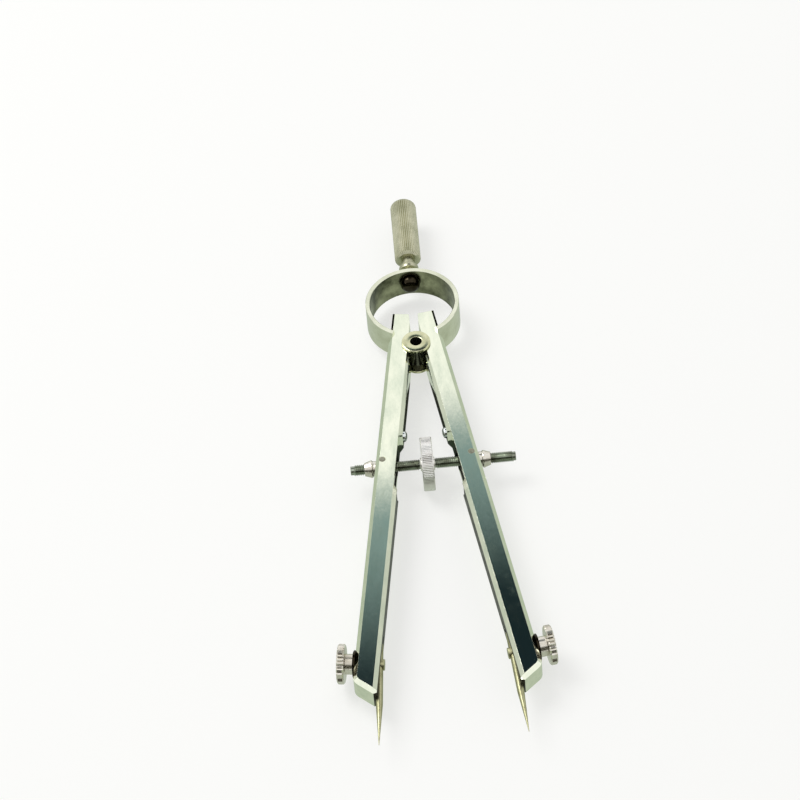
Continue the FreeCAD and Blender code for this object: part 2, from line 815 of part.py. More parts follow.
for item in doc.Objects:
    if "Invalid" in item.State or "Error" in item.State:
        raise RuntimeError(f"{item.Label} did not recompute: {item.State}")
for sub_part in sub_parts:
    if sub_part.Shape.isNull() or not sub_part.Shape.isValid():
        raise RuntimeError(f"{sub_part.Label} has no valid shape")
    if len(sub_part.Shape.Solids) != 1:
        raise RuntimeError(f"{sub_part.Label} has {len(sub_part.Shape.Solids)} solids")

os.makedirs("parts", exist_ok=True)
for sub_part in sub_parts:
    sub_part.Shape.exportStep(f"parts/{sub_part.Label}.step")
    print(f"{sub_part.Label}: {sub_part.Shape.Volume:.2f} mm3")
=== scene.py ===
import math
import bmesh
import bpy
from mathutils import Matrix, Vector


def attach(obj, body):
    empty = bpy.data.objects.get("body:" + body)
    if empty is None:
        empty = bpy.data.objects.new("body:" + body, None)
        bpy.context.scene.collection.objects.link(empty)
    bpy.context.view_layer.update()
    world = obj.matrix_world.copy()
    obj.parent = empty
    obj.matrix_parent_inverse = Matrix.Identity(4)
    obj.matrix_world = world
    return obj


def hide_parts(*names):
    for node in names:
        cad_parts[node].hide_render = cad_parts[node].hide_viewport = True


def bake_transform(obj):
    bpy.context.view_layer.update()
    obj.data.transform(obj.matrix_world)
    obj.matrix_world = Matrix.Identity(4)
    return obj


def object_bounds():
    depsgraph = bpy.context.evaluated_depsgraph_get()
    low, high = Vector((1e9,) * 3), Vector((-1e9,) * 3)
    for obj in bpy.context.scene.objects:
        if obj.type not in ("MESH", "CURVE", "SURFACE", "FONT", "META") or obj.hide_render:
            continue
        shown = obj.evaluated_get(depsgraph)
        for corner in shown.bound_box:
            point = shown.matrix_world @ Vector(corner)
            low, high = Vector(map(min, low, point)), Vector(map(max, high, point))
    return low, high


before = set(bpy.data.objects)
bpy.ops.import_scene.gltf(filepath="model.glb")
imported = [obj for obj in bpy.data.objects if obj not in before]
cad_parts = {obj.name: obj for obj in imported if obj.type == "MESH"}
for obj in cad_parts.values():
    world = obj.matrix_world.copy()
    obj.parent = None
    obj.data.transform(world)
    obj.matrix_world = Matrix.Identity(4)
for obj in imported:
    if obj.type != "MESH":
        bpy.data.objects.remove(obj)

solid_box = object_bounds()


# Legs ------------------------------------------------------------------------------------------
# Two straight bars of rectangular steel with bevelled rims, cut off on a slope at the foot and
# slotted for the spindle's nut. They are ground along their length, buffed and chromium plated.

MM = 0.001


def polish_group():
    """Buffed plating: clouds of colour, patches of duller shine and a fine grain."""
    group = bpy.data.node_groups.new("buffed_plating", "ShaderNodeTree")
    sockets = group.interface
    sockets.new_socket("Vector", in_out="INPUT", socket_type="NodeSocketVector")
    for name in ("Bright", "Dull"):
        sockets.new_socket(name, in_out="INPUT", socket_type="NodeSocketColor")
    for name in ("Cloud Scale", "Grain Scale", "Sheen Low", "Sheen High"):
        sockets.new_socket(name, in_out="INPUT", socket_type="NodeSocketFloat")
    sockets.new_socket("Color", in_out="OUTPUT", socket_type="NodeSocketColor")
    sockets.new_socket("Roughness", in_out="OUTPUT", socket_type="NodeSocketFloat")
    sockets.new_socket("Height", in_out="OUTPUT", socket_type="NodeSocketFloat")
    nodes, links = group.nodes, group.links
    given = nodes.new("NodeGroupInput")
    made = nodes.new("NodeGroupOutput")
    clouds = nodes.new("ShaderNodeTexNoise")
    clouds.inputs["Detail"].default_value = 5
    clouds.inputs["Roughness"].default_value = 0.62
    links.new(given.outputs["Vector"], clouds.inputs["Vector"])
    links.new(given.outputs["Cloud Scale"], clouds.inputs["Scale"])
    spread = nodes.new("ShaderNodeMapRange")
    spread.inputs["From Min"].default_value = 0.36
    spread.inputs["From Max"].default_value = 0.66
    links.new(clouds.outputs["Fac"], spread.inputs["Value"])
    tint = nodes.new("ShaderNodeMix")
    tint.data_type = "RGBA"
    links.new(spread.outputs["Result"], tint.inputs["Factor"])
    links.new(given.outputs["Bright"], tint.inputs["A"])
    links.new(given.outputs["Dull"], tint.inputs["B"])
    links.new(tint.outputs["Result"], made.inputs["Color"])
    grain = nodes.new("ShaderNodeTexNoise")
    grain.inputs["Detail"].default_value = 3
    links.new(given.outputs["Vector"], grain.inputs["Vector"])
    links.new(given.outputs["Grain Scale"], grain.inputs["Scale"])
    links.new(grain.outputs["Fac"], made.inputs["Height"])
    both = nodes.new("ShaderNodeMath")
    both.operation = "MULTIPLY"
    links.new(spread.outputs["Result"], both.inputs[0])
    links.new(grain.outputs["Fac"], both.inputs[1])
    sheen = nodes.new("ShaderNodeMapRange")
    links.new(both.outputs[0], sheen.inputs["Value"])
    links.new(given.outputs["Sheen Low"], sheen.inputs["To Min"])
    links.new(given.outputs["Sheen High"], sheen.inputs["To Max"])
    links.new(sheen.outputs["Result"], made.inputs["Roughness"])
    return group


buffed = polish_group()


def metal(name, bright, dull, clouds, grain, sheen, relief, turn=0.0, stretch=(1, 1, 1)):
    """A metal of buffed plating: two colours, two scales of pattern and a range of roughness."""
    finish = bpy.data.materials.new(name)
    finish.use_nodes = True
    nodes, links = finish.node_tree.nodes, finish.node_tree.links
    shader = nodes["Principled BSDF"]
    shader.inputs["Metallic"].default_value = 1.0
    place = nodes.new("ShaderNodeTexCoord")
    mapping = nodes.new("ShaderNodeMapping")
    mapping.inputs["Rotation"].default_value = (0, 0, turn)
    mapping.inputs["Scale"].default_value = stretch
    links.new(place.outputs["Object"], mapping.inputs["Vector"])
    plating = nodes.new("ShaderNodeGroup")
    plating.node_tree = buffed
    links.new(mapping.outputs["Vector"], plating.inputs["Vector"])
    plating.inputs["Bright"].default_value = (*bright, 1)
    plating.inputs["Dull"].default_value = (*dull, 1)
    plating.inputs["Cloud Scale"].default_value = clouds
    plating.inputs["Grain Scale"].default_value = grain
    plating.inputs["Sheen Low"].default_value = sheen[0]
    plating.inputs["Sheen High"].default_value = sheen[1]
    links.new(plating.outputs["Color"], shader.inputs["Base Color"])
    links.new(plating.outputs["Roughness"], shader.inputs["Roughness"])
    bump = nodes.new("ShaderNodeBump")
    bump.inputs["Strength"].default_value = relief
    bump.inputs["Distance"].default_value = 0.00002
    links.new(plating.outputs["Height"], bump.inputs["Height"])
    links.new(bump.outputs["Normal"], shader.inputs["Normal"])
    return finish


def solid_copy(node):
    """A copy of a CAD node's mesh, in metres, with its loose triangles joined."""
    bm = bmesh.new()
    bm.from_mesh(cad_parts[node].data)
    bmesh.ops.remove_doubles(bm, verts=bm.verts, dist=1e-6)
    return bm


def finished(name, bm, finish, slot, body, *stands_for, edge=0.0, crisp=30):
    """Turn a bmesh in metres into a piece that rides on its body, its edges broken by edge mm."""
    mesh = bpy.data.meshes.new(name)
    bm.to_mesh(mesh)
    bm.free()
    mesh.materials.append(finish)
    mesh.shade_smooth()
    mesh.set_sharp_from_angle(angle=math.radians(crisp))
    piece = bpy.data.objects.new(name, mesh)
    bpy.context.scene.collection.objects.link(piece)
    if edge:
        softened = piece.modifiers.new("broken_edges", "BEVEL")
        softened.width = edge * MM
        softened.segments = 2
        softened.limit_method = "ANGLE"
        softened.angle_limit = math.radians(28)
        flats = piece.modifiers.new("true_flats", "WEIGHTED_NORMAL")
        flats.weight = 100
        flats.keep_sharp = True
    if body:
        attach(piece, body)
    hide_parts(*stands_for)
    return piece


def between(value, limits):
    """Whether a value lies inside a pair of limits."""
    return limits[0] < value < limits[1]


# Cuts in a leg that are coloured near-black as painted shade, in mm out from the centre line and
# up the leg.
NOTCH_OUT, NOTCH_UP = (4.6, 6.38), (0.2, 3.95)
SLOT_OUT, SLOT_UP, SLOT_HALF_DEPTH = (1.95, 6.3), (-44.5, -31), 1.9
SOCKET_REACH, SOCKET_UP, SOCKET_HALF_DEPTH = 2.6, (-100.5, -83), 0.85
LEG_ANGLE = math.radians(8.17)
# Near-black steel for the leg's notches, slot and needle socket, and for the spool's bore:
# painted shade in these recesses.
recess_shade_steel = metal("recess_painted_shade", bright=(0.10, 0.10, 0.09), dull=(0.03, 0.03, 0.03),
                  clouds=500, grain=3000, sheen=(0.40, 0.60), relief=0.3)

for side, hand in ((-1, "left"), (1, "right")):
    chrome = metal(f"{hand}_leg_chrome", bright=(0.93, 0.96, 0.79), dull=(0.78, 0.84, 0.68),
                   clouds=420, grain=1500, sheen=(0.03, 0.16), relief=0.20,
                   turn=-side * LEG_ANGLE, stretch=(1, 0.35, 1))
    bar = solid_copy(f"{hand}_leg")
    bmesh.ops.dissolve_limit(bar, angle_limit=math.radians(1), verts=bar.verts, edges=bar.edges)
    unswing = Matrix.Rotation(-side * LEG_ANGLE, 4, "Z")
    for face in bar.faces:
        spot = unswing @ (face.calc_center_median() / MM)
        out, up, depth = side * spot.x, spot.y, abs(spot.z)
        faces_sideways = face.normal.z ** 2 < 0.1
        in_notch = between(out, NOTCH_OUT) and between(up, NOTCH_UP) and faces_sideways
        in_slot = depth < SLOT_HALF_DEPTH and between(out, SLOT_OUT) and between(up, SLOT_UP)
        in_socket = depth < SOCKET_HALF_DEPTH and out < SOCKET_REACH and between(up, SOCKET_UP)
        # Faces in the notch, slot or socket take the near-black painted shade.
        face.material_index = 1 if in_notch or in_slot or in_socket else 0
    piece = finished(f"{hand}_bar", bar, chrome, "leg_chrome", f"{hand}_leg", f"{hand}_leg",
                     edge=0.12)
    piece.data.materials.append(recess_shade_steel)


# Spring ring -----------------------------------------------------------------------------------
# A strip of spring steel bent to an open ring and plated. The handle's screw holds its crown and
# its two ends press into the legs' notches.

def on_centre_line(up):
    """Bring a mesh drawn in mm to metres, with its origin so many mm up the centre line."""
    return Matrix.Scale(MM, 4) @ Matrix.Translation((0, up, 0))


RING_INSIDE, RING_OUTSIDE = 9.75, 10.75
RING_HALF_WIDTH = 3.7
RING_RIM = 0.1
RING_RISE = 12.57
RING_END = math.radians(151.5)
INNER_WALL = RING_INSIDE + 0.04
ring_plate = metal("ring_plate", bright=(0.86, 0.88, 0.72), dull=(0.66, 0.68, 0.52),
                   clouds=160, grain=1400, sheen=(0.10, 0.22), relief=0.12)
# A darker copy of the ring's plating for its inner wall: painted shade inside the ring.
ring_wall_painted_shade = metal("ring_wall_painted_shade", bright=(0.40, 0.41, 0.27), dull=(0.03, 0.035, 0.012),
                    clouds=150, grain=1600, sheen=(0.16, 0.34), relief=0.12)
wall_top = RING_HALF_WIDTH - RING_RIM
ring_section = [(RING_INSIDE, wall_top), (RING_INSIDE + RING_RIM, RING_HALF_WIDTH),
                (RING_OUTSIDE - RING_RIM, RING_HALF_WIDTH), (RING_OUTSIDE, wall_top)]
ring_section += [(radius, -z) for radius, z in reversed(ring_section)]
for side, hand in ((-1, "left"), (1, "right")):
    strip = bmesh.new()
    corners = [strip.verts.new((0, radius, z)) for radius, z in ring_section]
    end = strip.faces.new(corners)
    bmesh.ops.spin(strip, geom=[end], axis=(0, 0, 1), cent=(0, 0, 0), dvec=(0, 0, 0),
                   angle=-side * RING_END, steps=48, use_merge=False)
    bmesh.ops.recalc_face_normals(strip, faces=strip.faces)
    # Faces of the inner wall take the painted shade.
    for face in strip.faces:
        face.material_index = 1 if face.calc_center_median().xy.length < INNER_WALL else 0
    strip.transform(on_centre_line(RING_RISE))
    half = finished(f"{hand}_ring_half", strip, ring_plate, "spring_steel", None, "spring_ring")
    half.data.materials.append(ring_wall_painted_shade)
    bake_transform(half)


# Handle ----------------------------------------------------------------------------------------
# A nickel-plated steel grip with a straight knurl along it, turned in one piece with its neck
# and bead. It stands on the crown of the ring and is bored from below for its screw.

def turned(profile, steps=72):
    """Spin a half section, given as (radius, height) in mm, about the Z axis."""
    bm = bmesh.new()
    verts = [bm.verts.new((radius, 0, height)) for radius, height in profile]
    edges = [bm.edges.new(pair) for pair in zip(verts, verts[1:])]
    bmesh.ops.spin(bm, geom=verts + edges, axis=(0, 0, 1), cent=(0, 0, 0), dvec=(0, 0, 0),
                   angle=math.tau, steps=steps, use_merge=True)
    bmesh.ops.remove_doubles(bm, verts=bm.verts, dist=1e-5)
    bmesh.ops.recalc_face_normals(bm, faces=bm.faces)
    return bm


def knurled(bm, teeth, depth, rings):
    """Add a grooved band: rings of (radius, height, groove share), a flat and a vee per tooth."""
    rim = bmesh.ops.create_circle(bm, segments=teeth * 3, radius=1)["verts"]
    edges = list({edge for vert in rim for edge in vert.link_edges})
    loops = [rim]
    for _ in rings[1:]:
        grown = bmesh.ops.extrude_edge_only(bm, edges=edges)["geom"]
        edges = [item for item in grown if isinstance(item, bmesh.types.BMEdge)]
        loops.append([item for item in grown if isinstance(item, bmesh.types.BMVert)])
    for (radius, height, groove), loop in zip(rings, loops):
        for vert in loop:
            around = math.atan2(vert.co.y, vert.co.x)
            slot = round(around / math.tau * teeth * 3) % 3
            reach = radius - depth * groove if slot == 0 else radius
            vert.co = Vector((reach * math.cos(around), reach * math.sin(around), height))


SEAT_GAP = 0.02
UPRIGHT = Matrix.Rotation(math.radians(-90), 4, "X")
HANDLE_PLACE = on_centre_line(RING_RISE + RING_OUTSIDE + SEAT_GAP) @ UPRIGHT
GRIP_FOOT = 6.0
GRIP_TOP = GRIP_FOOT + 18.2
grip_nickel = metal("grip_nickel", bright=(0.58, 0.57, 0.42), dull=(0.42, 0.42, 0.29),
                    clouds=220, grain=2600, sheen=(0.22, 0.38), relief=0.20)
neck = turned([
    (1.2, 0), (1.85, 0), (1.95, 0.1), (1.95, 0.4), (1.6, 0.8), (1.55, 1.0), (1.55, 2.3),
    (1.9, 2.36), (2.18, 2.5), (2.28, 2.8), (2.3, 3.1), (2.28, 3.4), (2.18, 3.7), (1.9, 3.84),
    (1.55, 3.9), (1.55, GRIP_FOOT + 0.1), (2.3, GRIP_FOOT + 0.02), (2.42, GRIP_FOOT)])
neck.transform(HANDLE_PLACE)
finished("neck_and_bead", neck, grip_nickel, "grip_nickel", "head", "handle")
grip = bmesh.new()
knurled(grip, teeth=40, depth=0.16, rings=[
    (2.42, GRIP_FOOT, 0), (2.72, GRIP_FOOT + 0.3, 0.3), (3.02, GRIP_FOOT + 0.6, 1),
    (3.02, GRIP_TOP - 0.9, 1), (2.93, GRIP_TOP - 0.5, 0.7), (2.70, GRIP_TOP - 0.2, 0.3),
    (2.30, GRIP_TOP - 0.03, 0), (1.9, GRIP_TOP, 0), (0.0, GRIP_TOP, 0)])
bmesh.ops.remove_doubles(grip, verts=grip.verts, dist=1e-5)
bmesh.ops.recalc_face_normals(grip, faces=grip.faces)
grip.transform(HANDLE_PLACE)
finished("knurled_grip", grip, grip_nickel, "grip_nickel", "head", "handle", crisp=20)


# Handle screw ----------------------------------------------------------------------------------
# A round-headed screw of dark steel. Its head bears on the inside of the ring's crown and its
# shank pulls the handle down on the outside.

SCREW_HEAD = 2.3
SCREW_SEAT = RING_RISE + math.sqrt(RING_INSIDE ** 2 - SCREW_HEAD ** 2) - SEAT_GAP
dark_steel = metal("dark_steel", bright=(0.050, 0.042, 0.028), dull=(0.016, 0.012, 0.006),
                   clouds=400, grain=3000, sheen=(0.10, 0.22), relief=0.15)
screw = turned([
    (0, -1.9), (0.6, -1.87), (1.15, -1.75), (1.6, -1.5), (1.95, -1.15), (2.18, -0.75),
    (2.28, -0.4), (SCREW_HEAD, -0.12), (2.26, 0), (1.2, 0), (1.2, 6.0), (0, 6.0)], steps=48)
screw.transform(on_centre_line(SCREW_SEAT) @ UPRIGHT)
finished("dome_screw", screw, dark_steel, "dark_steel", "head", "handle_screw")


# Fulcrum spool ---------------------------------------------------------------------------------
# The brass-coloured nickel roller that the legs pivot on. Its waist fits their saddles, and its
# two flanges lap over their faces and keep them in line.

BORE_REACH = 1.34
WAIST_REACH = 3.15
spool_nickel = metal("spool_nickel", bright=(0.74, 0.74, 0.50), dull=(0.50, 0.50, 0.30),
                     clouds=300, grain=2400, sheen=(0.14, 0.30), relief=0.15)
# A darker copy of the spool's nickel for its waist and the flanges' inner faces: painted shade
# between the legs.
spool_neck_painted_shade = metal("spool_neck_painted_shade", bright=(0.20, 0.20, 0.15), dull=(0.06, 0.06, 0.045),
                    clouds=300, grain=2400, sheen=(0.18, 0.34), relief=0.15)
upper = [(2.25, 3.1), (3.17, 3.1), (3.27, 3.2), (3.27, 3.52), (3.2, 3.68), (3.05, 3.75),
         (1.5, 3.75), (1.36, 3.69), (1.3, 3.55)]
lower = [(radius, -z) for radius, z in reversed(upper)]
spool = turned(lower + upper + lower[:1])
# The bore takes the near-black painted shade of the recesses, and the waist takes the darker
# painted shade.
for face in spool.faces:
    middle = face.calc_center_median()
    in_bore, in_waist = middle.xy.length < BORE_REACH, abs(middle.z) < WAIST_REACH
    face.material_index = 1 if in_bore else 2 if in_waist else 0
spool.transform(on_centre_line(0))
flanged = finished("flanged_spool", spool, spool_nickel, "grip_nickel", "head", "fulcrum_spool")
flanged.data.materials.append(recess_shade_steel)
flanged.data.materials.append(spool_neck_painted_shade)


# Closing stops and pivot pins ------------------------------------------------------------------
# Small turned steel pieces pressed into the legs: a domed stud on each inner side, just above the
# recess for the wheel, and the pins that the spindle's nuts swivel on.

def in_leg(side, out, up):
    """Bring a mesh drawn in mm to metres, so many mm out from the centre line and up one leg."""
    swing = Matrix.Rotation(side * LEG_ANGLE, 4, "Z")
    return Matrix.Scale(MM, 4) @ swing @ Matrix.Translation((side * out, up, 0))


def outward(side):
    """Lay a piece turned about Z so that it points out of the leg's outer side."""
    return Matrix.Rotation(side * math.radians(90), 4, "Y")


STUD_OUT, STUD_DROP = 0.3, 25.7
PIN_OUT, PIN_DROP = 4.95, 35.1
stud_chrome = metal("stud_chrome", bright=(0.86, 0.89, 0.88), dull=(0.62, 0.67, 0.68),
                    clouds=500, grain=2600, sheen=(0.06, 0.16), relief=0.10)
pin_steel = metal("pin_steel", bright=(0.56, 0.54, 0.42), dull=(0.30, 0.28, 0.20),
                  clouds=500, grain=3000, sheen=(0.20, 0.36), relief=0.15)
for side, hand in ((-1, "left"), (1, "right")):
    stud = turned([(0, 0), (0.45, 0.02), (0.8, 0.1), (1.05, 0.26), (1.17, 0.45), (1.2, 0.6),
                   (1.2, 0.8), (0.6, 0.8), (0.6, 2.2), (0, 2.2)], steps=32)
    stud.transform(in_leg(side, STUD_OUT, -STUD_DROP) @ outward(side))
    finished(f"{hand}_domed_stud", stud, stud_chrome, "leg_chrome", f"{hand}_leg",
             f"{hand}_stop_stud")
    for name, turn in (("front", 0), ("rear", math.pi)):
        pin = turned([(0, 1.45), (0.65, 1.45), (0.75, 1.55), (0.75, 2.93), (0.68, 2.99),
                      (0.5, 3.0), (0, 2.97)], steps=32)
        pin.transform(in_leg(side, PIN_OUT, -PIN_DROP) @ Matrix.Rotation(turn, 4, "X"))
        finished(f"{hand}_{name}_pin_end", pin, pin_steel, "dark_steel", f"{hand}_leg",
                 f"{hand}_{name}_pivot_pin")


# Spindle ---------------------------------------------------------------------------------------
# A steel rod with a fine thread rolled on it, right-handed towards one leg and left-handed
# towards the other, so that one turn of the wheel moves both nuts apart or together.

SPINDLE_UP = PIN_OUT * math.sin(LEG_ANGLE) - PIN_DROP * math.cos(LEG_ANGLE)
SPINDLE_PLACE = on_centre_line(SPINDLE_UP) @ Matrix.Rotation(math.radians(90), 4, "Y")
PITCH = 0.45
THREAD_ROOT, THREAD_CREST = 0.98, 1.2
THREAD_START = 1.6
THREAD_STEPS = 20
spindle_steel = metal("spindle_steel", bright=(0.50, 0.55, 0.46), dull=(0.20, 0.21, 0.16),
                      clouds=300, grain=2600, sheen=(0.14, 0.28), relief=0.15)
rod = turned([(0, -17.1), (0.9, -17.1), (0.99, -17.0), (0.99, 19.5), (0.9, 19.6), (0, 19.6)],
             steps=24)
for side, thread_end in ((-1, 16.85), (1, 19.35)):
    turns = int((thread_end - THREAD_START) / PITCH) - 1
    wire = [rod.verts.new((radius, 0, side * (THREAD_START + rise)))
            for radius, rise in ((THREAD_ROOT, 0), (THREAD_CREST, PITCH * 0.4),
                                 (THREAD_CREST, PITCH * 0.6), (THREAD_ROOT, PITCH))]
    edges = [rod.edges.new(pair) for pair in zip(wire, wire[1:])]
    bmesh.ops.spin(rod, geom=wire + edges, axis=(0, 0, 1), cent=(0, 0, 0),
                   dvec=(0, 0, side * PITCH / THREAD_STEPS), angle=math.tau * turns,
                   steps=THREAD_STEPS * turns, use_merge=False)
bmesh.ops.remove_doubles(rod, verts=rod.verts, dist=1e-4)
bmesh.ops.recalc_face_normals(rod, faces=rod.faces)
rod.transform(SPINDLE_PLACE)
finished("threaded_spindle", rod, spindle_steel, "dark_steel", "spindle", "spindle", crisp=40)


# Adjusting wheel -------------------------------------------------------------------------------
# A plated steel wheel pressed on the middle of the spindle, with a short hub on each side and a
# fine straight knurl round its rim for the thumb.

def close_and_face_out(bm):
    """Close a pierced piece down its bore and turn its faces outwards."""
    bmesh.ops.bridge_loops(bm, edges=[edge for edge in bm.edges if edge.is_boundary])
    bmesh.ops.recalc_face_normals(bm, faces=bm.faces)


wheel_plate = metal("wheel_plate", bright=(0.90, 0.89, 0.86), dull=(0.76, 0.73, 0.69),
                    clouds=250, grain=2400, sheen=(0.26, 0.40), relief=0.15)
wheel = bmesh.new()
knurled(wheel, teeth=96, depth=0.06, rings=[
    (1.21, -1.6, 0), (1.42, -1.6, 0), (1.5, -1.5, 0), (1.5, -1.2, 0), (4.6, -1.15, 0),
    (5.2, -1.3, 0), (5.8, -1.3, 0.3), (5.998, -1.1, 1), (5.998, 1.1, 1), (5.8, 1.3, 0.3),
    (5.2, 1.3, 0), (4.6, 1.15, 0), (1.5, 1.2, 0), (1.5, 1.5, 0), (1.42, 1.6, 0), (1.21, 1.6, 0)])
close_and_face_out(wheel)
wheel.transform(SPINDLE_PLACE)
finished("knurled_wheel", wheel, wheel_plate, "wheel_chrome", "spindle", "adjusting_wheel",
         crisp=25)


# Spindle nuts ----------------------------------------------------------------------------------
# A block in each leg's slot, tapped for the spindle and grooved for the two pivot pins, with a
# conical collar that stands out of the leg's outer side. Turned and milled from one piece.

fitting_nickel = metal("fitting_nickel", bright=(0.88, 0.85, 0.78), dull=(0.60, 0.56, 0.47),
                       clouds=260, grain=2400, sheen=(0.20, 0.34), relief=0.15)
for hand in ("left", "right"):
    block = solid_copy(f"{hand}_spindle_nut")
    finished(f"{hand}_swivel_nut", block, fitting_nickel, "fitting_nickel", f"{hand}_nut",
             f"{hand}_spindle_nut")


# Needles ---------------------------------------------------------------------------------------
# Hardened steel needles, ground to a long point and clamped in a groove on each leg's inner side.

NEEDLE_REACH = 111.0
CLOSED_ANGLE = math.radians(0.15)
HALF_POINT_GAP = 0.1
POINT_OUT = HALF_POINT_GAP - NEEDLE_REACH * math.sin(CLOSED_ANGLE)
NEEDLE_TILT = math.radians(4.1)
needle_steel = metal("needle_steel", bright=(0.52, 0.51, 0.31), dull=(0.32, 0.31, 0.17),
                     clouds=300, grain=2800, sheen=(0.32, 0.48), relief=0.2)
for side, hand in ((-1, "left"), (1, "right")):
    needle = turned([(0, 0), (0.04, 0.03), (0.07, 0.15), (0.75, 10.5), (0.75, 26.2), (0.7, 26.4),
                     (0.5, 26.5), (0, 26.5)], steps=32)
    lean = Matrix.Rotation(-side * NEEDLE_TILT, 4, "Z")
    needle.transform(in_leg(side, POINT_OUT, -NEEDLE_REACH) @ lean @ UPRIGHT)
    finished(f"{hand}_point", needle, needle_steel, "needle_steel", f"{hand}_needle",
             f"{hand}_needle")


# Needle clamps ---------------------------------------------------------------------------------
# An eye bolt across each foot holds the needle: its head is pierced for the needle, and a washer
# and a knurled thumb nut on the outer side draw it tight. Turned steel, nickel plated.

CLAMP_DROP = 90.0
LEG_OUTER = 6.4
WASHER_THICKNESS = 0.5
for side, hand in ((-1, "left"), (1, "right")):
    bolt = solid_copy(f"{hand}_clamp_bolt")
    finished(f"{hand}_eye_bolt", bolt, needle_steel, "fitting_nickel", f"{hand}_clamp",
             f"{hand}_clamp_bolt", edge=0.22)
    washer = turned([(1.05, 0), (2.94, 0), (3.0, 0.06), (3.0, 0.38), (2.88, WASHER_THICKNESS),
                     (1.05, WASHER_THICKNESS), (1.05, 0)], steps=48)
    washer.transform(in_leg(side, LEG_OUTER, -CLAMP_DROP) @ outward(side))
    # The washer takes the near-black dark steel as painted shade of the gap between the thumb nut
    # and the leg.
    finished(f"{hand}_flat_washer", washer, dark_steel, "leg_chrome", f"{hand}_leg",
             f"{hand}_washer")
    nut = bmesh.new()
    knurled(nut, teeth=34, depth=0.22, rings=[
        (1.05, 0, 0), (2.1, 0, 0), (2.2, 0.1, 0), (2.2, 1.65, 0), (2.3, 1.75, 0),
        (4.05, 1.75, 0.2), (4.298, 2.0, 1), (4.298, 3.0, 1), (4.05, 3.25, 0.2), (3.0, 3.25, 0),
        (2.7, 2.95, 0), (1.3, 2.95, 0), (1.05, 2.8, 0)])
    close_and_face_out(nut)
    nut.transform(in_leg(side, LEG_OUTER + WASHER_THICKNESS, -CLAMP_DROP) @ outward(side))
    finished(f"{hand}_knurled_thumb_nut", nut, fitting_nickel, "fitting_nickel", f"{hand}_thumb",
             f"{hand}_thumb_nut", crisp=25)


# Table top -------------------------------------------------------------------------------------
# A plain pale table that the tool lies on. Part of its light is its own, for the camera alone,
# so that it reads as white and still takes the tool's shadow.

low = solid_box[0][2]
THIN_GAP = 0.0002
OWN_LIGHT = 0.6
table_bm = bmesh.new()
bmesh.ops.create_grid(table_bm, x_segments=1, y_segments=1, size=3.0)
bmesh.ops.translate(table_bm, verts=table_bm.verts, vec=(0, 0, low - THIN_GAP))
table_mesh = bpy.data.meshes.new("table_top")
table_bm.to_mesh(table_mesh)
table_bm.free()
table_top = bpy.data.objects.new("table_top", table_mesh)
bpy.context.scene.collection.objects.link(table_top)
paper = bpy.data.materials.new("pale_table")
paper.use_nodes = True
paper_nodes, paper_links = paper.node_tree.nodes, paper.node_tree.links
paper_shader = paper_nodes["Principled BSDF"]
paper_shader.inputs["Roughness"].default_value = 0.9
paper_shader.inputs["Specular IOR Level"].default_value = 0.1
mottle = paper_nodes.new("ShaderNodeTexNoise")
mottle.inputs["Scale"].default_value = 9
paper_tone = paper_nodes.new("ShaderNodeMix")
paper_tone.data_type = "RGBA"
paper_tone.inputs["A"].default_value = (0.96, 0.965, 0.94, 1)
paper_tone.inputs["B"].default_value = (0.98, 0.98, 0.965, 1)
paper_links.new(mottle.outputs["Fac"], paper_tone.inputs["Factor"])
paper_links.new(paper_tone.outputs["Result"], paper_shader.inputs["Base Color"])
lit = paper_nodes.new("ShaderNodeEmission")
lit.inputs["Color"].default_value = (1.0, 1.0, 0.985, 1)
sight = paper_nodes.new("ShaderNodeLightPath")
share = paper_nodes.new("ShaderNodeMath")
share.operation = "MULTIPLY"
share.inputs[1].default_value = OWN_LIGHT
paper_links.new(sight.outputs["Is Camera Ray"], share.inputs[0])
blended = paper_nodes.new("ShaderNodeMixShader")
paper_links.new(share.outputs[0], blended.inputs["Fac"])
paper_links.new(paper_shader.outputs[0], blended.inputs[1])
paper_links.new(lit.outputs[0], blended.inputs[2])
paper_links.new(blended.outputs[0], paper_nodes["Material Output"].inputs["Surface"])
table_mesh.materials.append(paper)


# Room ------------------------------------------------------------------------------------------
# An even white room. The camera and the plating see it at full white, and it lights the tool at
# a lower level.

ROOM_LIGHT = 0.62
sky = bpy.data.worlds.new("studio")
bpy.context.scene.world = sky
sky.use_nodes = True
sky_nodes, sky_links = sky.node_tree.nodes, sky.node_tree.links
backing = sky_nodes["Background"]
backing.inputs["Color"].default_value = (1, 1, 1, 1)
rays = sky_nodes.new("ShaderNodeLightPath")
seen = sky_nodes.new("ShaderNodeMath")
seen.operation = "MAXIMUM"
sky_links.new(rays.outputs["Is Camera Ray"], seen.inputs[0])
sky_links.new(rays.outputs["Is Glossy Ray"], seen.inputs[1])
also = sky_nodes.new("ShaderNodeMath")
also.operation = "MAXIMUM"
sky_links.new(seen.outputs[0], also.inputs[0])
sky_links.new(rays.outputs["Is Transmission Ray"], also.inputs[1])
level = sky_nodes.new("ShaderNodeMapRange")
level.inputs["To Min"].default_value = ROOM_LIGHT
level.inputs["To Max"].default_value = 1.0
sky_links.new(also.outputs[0], level.inputs["Value"])
sky_links.new(level.outputs["Result"], backing.inputs["Strength"])
